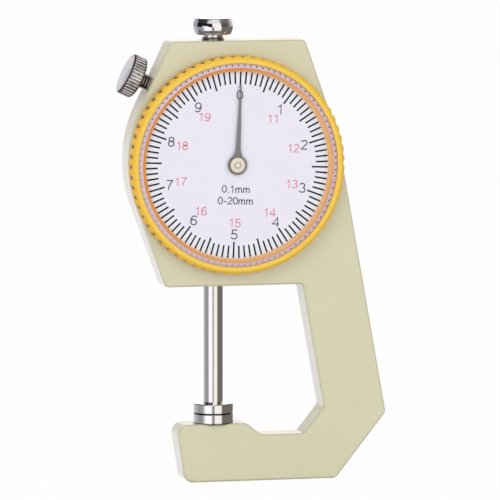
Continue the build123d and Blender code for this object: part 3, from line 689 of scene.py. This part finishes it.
def ribbon(mesh, points, wide, high):
    """Printed line of an even width along a path, closed on itself where it ends at its start."""
    closed = (points[0] - points[-1]).length < 1e-6
    path = points[:-1] if closed else points
    rows = []
    for i, here in enumerate(path):
        before = path[i - 1] if closed or i > 0 else here
        after = path[(i + 1) % len(path)] if closed or i < len(path) - 1 else here
        run_in = (here - before).normalized() if here != before else (after - here).normalized()
        run_out = (after - here).normalized() if after != here else run_in
        along = (run_in + run_out).normalized()
        side = Vector((-along.y, along.x)) * (wide / 2 / max(0.5, along.dot(run_in)))
        left = here + side
        right = here - side
        corners = ((left, 0), (right, 0), (right, high), (left, high))
        rows.append([mesh.verts.new((*spot, height)) for spot, height in corners])
    following = rows[1:] + rows[:1] if closed else rows[1:]
    for low, up in zip(rows, following):
        for k in range(4):
            n = (k + 1) % 4
            mesh.faces.new((low[k], low[n], up[n], up[k]))
    if not closed:
        mesh.faces.new(rows[0])
        mesh.faces.new(rows[-1])


def figures(name, words, material, high, wide):
    """Printed figures, each (text, right, up) from the dial's centre, as one piece."""
    mesh = bmesh.new()
    across = high * figure_wide
    for text, right, up in words:
        steps = [other_steps.get(letter, figure_step) for letter in text]
        start = right - (sum(steps) - figure_gap) / 2 * across
        for letter, step in zip(text, steps):
            for stroke in strokes[letter]:
                spots = [(start + x * across, up + (y - figure_middle) * high) for x, y in stroke]
                ribbon(mesh, [Vector(spot) for spot in spots], wide, print_high)
            start += step * across
    piece = finished(name, mesh, material, print_place)
    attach(piece, "bezel_set")


def ring_of(numbers, across, up):
    """Figures on a ring a little wider than high, ten to a turn, with 0 or 10 at the top."""
    turns = [(number, 2 * pi * number / 10) for number in numbers]
    return [(str(number), across * sin(a), up * cos(a)) for number, a in turns]


first_turn = ring_of(range(0, 10), 17.5 * mm, 17.05 * mm)
second_turn = ring_of(range(11, 20), 14.65 * mm, 14.2 * mm)
legend = [("0.1mm", 0, -5.95 * mm), ("0-20mm", 0, -8.8 * mm)]
figures("dial_figures", first_turn, grey_ink, 2.4 * mm, 0.27 * mm)
figures("dial_second_figures", second_turn, red_ink, 2.05 * mm, 0.23 * mm)
figures("dial_legend", legend, grey_ink, 1.8 * mm, 0.24 * mm)
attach(divisions, "bezel_set")

# Crystal. A clear moulded disc whose bevelled edge gathers the light to a pale lilac band, with
# the ends of the divisions showing in it as a ring of dots.
crystal_r = 24.9 * mm
crystal_bevel = 1.05 * mm
dots_r = 24.4 * mm
lens = Finish("clear_crystal", shade(245, 243, 250), Roughness=0.06)
lens_r, lens_turn, lens_high = from_dial_centre(lens)
lens_in = (crystal_r - crystal_bevel - lens_r) / mm
lens_band = lens.fade(lens_in, 0.05, -0.05) * lens.fade((lens_high - ledge_front) / mm, 0.05, 0.13)
# The lilac band and its dots are painted refraction on the bevel, the dots painted fainter towards
# the lower left.
lens_along = lens.wrap(lens_turn, 2 * pi / divisions_count) * dots_r
lens_dot = lens.fade(lens.join(lens_along, lens_r - dots_r), 0.28 * mm, 0.12 * mm)
dots_painted_light_side = lens.fade((lens_turn - radians(40)).math("COSINE"), -0.9, 0.3, 0.45, 1.0)
lens_edge = lens.fade((crystal_r - lens_r) / mm, 0.18, 0.04)
lilac = lens.between(lens.noise(8 * mm, 2.0), shade(214, 192, 208), shade(228, 208, 222))
edge_lilac = lens.between(lens_edge * 0.6, lilac, shade(176, 140, 160))
lens.vary("Base Color", lens.between(lens_dot * dots_painted_light_side, edge_lilac, shade(40, 18, 60)))
lens.vary("Alpha", lens.fade(lens_band, 0.0, 1.0, 0.006, 0.97))
lens.on("crystal")
nodes["crystal"].visible_shadow = False

# Pointer. A stamped strip, grey, swelling into a round eye, pressed on the arbor under a turned
# aluminium cap; its edge and a thin ring round its small button are painted darker, as painted
# shade.
button_r = 0.72 * mm
needle = Finish("pointer_grey", shade(132, 129, 128), Roughness=0.45, Metallic=0.15)
needle.mottle(needle.noise(0.6 * mm, 2.0), shade(124, 121, 121), shade(141, 138, 137))
needle.on("pointer")

cap = Finish("cap_aluminium", shade(236, 230, 214), Roughness=0.3, Metallic=0.75)
cap_r = from_dial_centre(cap)[0]
# Painted shade round the button's edge and at the cap's rim.
cap_button_painted_shade = cap.fade(abs(cap_r - button_r), 0.14 * mm, 0.04 * mm)
cap_edge_painted_shade = cap.fade(cap_r, 1.72 * mm, 1.84 * mm)
cap_painted_shade = (cap_button_painted_shade * 0.7).at_least(cap_edge_painted_shade * 0.8)
cap.mottle(cap_painted_shade, shade(238, 232, 216), shade(122, 112, 92))
cap.rub(cap.noise(0.1 * mm, 2.0), 0.26, 0.36)
cap.on("pointer_cap")

# Studio. A white floor and white surroundings, with the dark gaps between soft boxes that the
# polished metal mirrors. Large soft lamps light it from high on the left, from the right and
# from behind.
floor_half = 6.0
shadow_share = 0.04
floor_mesh = bmesh.new()
bmesh.ops.create_grid(floor_mesh, x_segments=1, y_segments=1, size=floor_half)
floor_look = bpy.data.materials.new("white_floor")
floor_look.use_nodes = True
floor_look.node_tree.nodes.clear()
floor_tree = Recipe(floor_look.node_tree)
floor_matt = floor_tree.add("ShaderNodeBsdfDiffuse", {}, {"Color": (0.9, 0.9, 0.9, 1)})
floor_glow = floor_tree.add("ShaderNodeEmission", {}, {"Color": (1, 1, 1, 1), "Strength": 1.0})
floor_seen = floor_tree.add("ShaderNodeLightPath", {}, {}, "Is Camera Ray") * (1 - shadow_share)
floor_mix = floor_tree.add("ShaderNodeMixShader", {}, {0: floor_seen, 1: floor_matt, 2: floor_glow})
floor_tree.add("ShaderNodeOutputMaterial", {}, {"Surface": floor_mix})
floor_place = Matrix.Translation((0, 0, solids_box[0][2]))
floor = finished("studio_floor", floor_mesh, floor_look, floor_place)
floor.visible_glossy = False

world = bpy.data.worlds.new("studio")
bpy.context.scene.world = world
world.use_nodes = True
world.node_tree.nodes.clear()
sky = Recipe(world.node_tree)
view_turn = radians(-13.5)

# Directions are degrees round from the viewer, positive to the right, and heights run from -1 to
# 1. A band's numbers say where a board or a gap starts, is full, begins to ebb and ends.
sky_x, sky_y, sky_z = sky.parts(sky.add("ShaderNodeTexCoord", {}, {}, "Generated"))
sky_forward = sky_x * sin(view_turn) - sky_y * cos(view_turn)
sky_right = sky_x * cos(view_turn) + sky_y * sin(view_turn)
sky_angle = sky_right.math("ARCTAN2", sky_forward) * (180 / pi)

# Low down, what the spindle and the discs mirror.
grey_left = sky.band(sky_angle, -148.0, -144.0, -66.0, -36.0)
grey_left_fall = sky.fade(sky_angle, -135.0, -80.0, 0.62, 1.04)
bright_left = sky.band(sky_angle, -60.0, -36.0, -14.0, -6.0)
grey_middle = sky.band(sky_angle, -9.0, 2.0, 5.0, 13.0)
dark_right = sky.band(sky_angle, 48.0, 56.0, 160.0, 174.0)
low_darks = 0.64 * grey_left * grey_left_fall + 0.85 * grey_middle + 0.83 * dark_right
low_level = 1 + 0.22 * bright_left - low_darks
is_low = sky.fade(sky_z, -0.04, -0.06)

# Higher up, the room that the two knobs mirror.
left_gap = sky.band(sky_angle, -66.0, -56.0, -30.0, -22.0) * sky.fade(sky_z, 0.12, 0.02)
left_steps = 0.6 * sky.fade(sky_angle, -150.0, -140.0) + 0.39 * sky.fade(sky_angle, -106.0, -96.0)
left_board = left_steps * sky.fade(sky_angle, 1.0, -3.0) * (1 - left_gap)
right_board = sky.band(sky_angle, 48.0, 52.0, 85.0, 175.0)
room_level = 1 - left_board - 0.9 * right_board

# Overhead, then underneath, then behind the gauge.
front_box = sky.band(sky_angle, -45.0, -20.0, 35.0, 60.0)
roof_level = 0.04 + 0.16 * right_board + 0.8 * front_box
is_roof = sky.fade(sky_z, 0.34, 0.5)
under_level = 0.18
is_under = sky.fade(sky_z, -0.46, -0.54)
turn_away = abs(sky_angle)
is_above = sky.fade(turn_away, 164.0, 174.0) * sky.fade(sky_z, -0.02, 0.05)
is_wall = sky.fade(turn_away, 143.0, 152.0) * (1 - is_above)
is_far = sky.fade(sky_z, -0.06, 0.06)
behind_gain = 1 + 0.4 * is_above + 0.15 * is_wall * (1 - is_far)

upper_level = room_level * (1 - is_roof) + roof_level * is_roof
level = low_level * is_low + upper_level * (1 - is_low)
mirrored = (level * (1 - is_under) + under_level * is_under) * behind_gain

# The camera and the crystal see plain white, and matt surfaces an even pale light.
is_camera = sky.add("ShaderNodeLightPath", {}, {}, "Is Camera Ray")
is_glossy = is_camera.also("Is Glossy Ray")
is_shown = is_camera.at_least(is_camera.also("Is Transmission Ray"))
matt_level = 0.66
unseen = is_glossy * mirrored + (1 - is_glossy) * matt_level
sky_level = is_shown + (1 - is_shown) * unseen

# Cool on the left, warm on the right, brown far right and underneath, and lavender behind.
is_brown = sky.fade(sky_angle, 48.0, 56.0) * (1 - is_under) + is_under
lavender = sky.between(is_far, (0.97, 0.95, 1.12, 1), (0.75, 0.72, 0.77, 1))
sky_tint = (1, 1, 1, 1)
for mask, tint in (
    (sky.fade(sky_angle, 5.0, -12.0), (0.95, 0.94, 1, 1)),
    (sky.fade(sky_angle, 5.0, 14.0), (1, 0.965, 0.93, 1)),
    (is_brown, (1, 0.88, 0.78, 1)),
    (is_wall, lavender),
):
    sky_tint = sky.between(mask * is_glossy, sky_tint, tint)
sky_light = sky.add("ShaderNodeBackground", {}, {"Color": sky_tint, "Strength": sky_level})
sky.add("ShaderNodeOutputWorld", {}, {"Surface": sky_light})

middle = Vector((9.331, 0.0, 39.825)) * mm


def lamp(name, place, size, power):
    """Square lamp in metres and watts, aimed at the middle of the gauge."""
    light = bpy.data.lights.new(name, "AREA")
    light.size = size
    light.energy = power
    holder = bpy.data.objects.new(name, light)
    holder.location = place
    holder.rotation_euler = (middle - Vector(place)).to_track_quat("-Z", "Y").to_euler()
    holder.visible_glossy = False
    bpy.context.collection.objects.link(holder)


lamp("lamp_left", (-0.8, -0.9, 0.8), 1.0, 5.5)
lamp("lamp_right", (0.9, -0.8, 0.35), 0.8, 2.15)
lamp("lamp_back", (-0.75, 0.75, 0.35), 0.7, 1.2)

# Camera. A long lens nearly a metre and a half away, a little to the left and above, so that the
# head's left side and the tops of the discs just show.
view_lift = radians(5.85)
view_far = 1.4455
picture_pixels = 500
focal_pixels = 5900
sensor_wide = 36.0
view_level = Vector((-sin(view_turn), cos(view_turn), 0))
view_line = view_level * cos(view_lift) - Vector((0, 0, sin(view_lift)))
camera = bpy.data.objects.new("camera", bpy.data.cameras.new("camera"))
camera.data.sensor_width = sensor_wide
camera.data.lens = sensor_wide * focal_pixels / picture_pixels
camera.data.clip_end = 50.0
camera.location = middle - view_far * view_line
camera.rotation_euler = view_line.to_track_quat("-Z", "Y").to_euler()
bpy.context.collection.objects.link(camera)
bpy.context.scene.camera = camera
bpy.context.scene.view_settings.view_transform = "Standard"
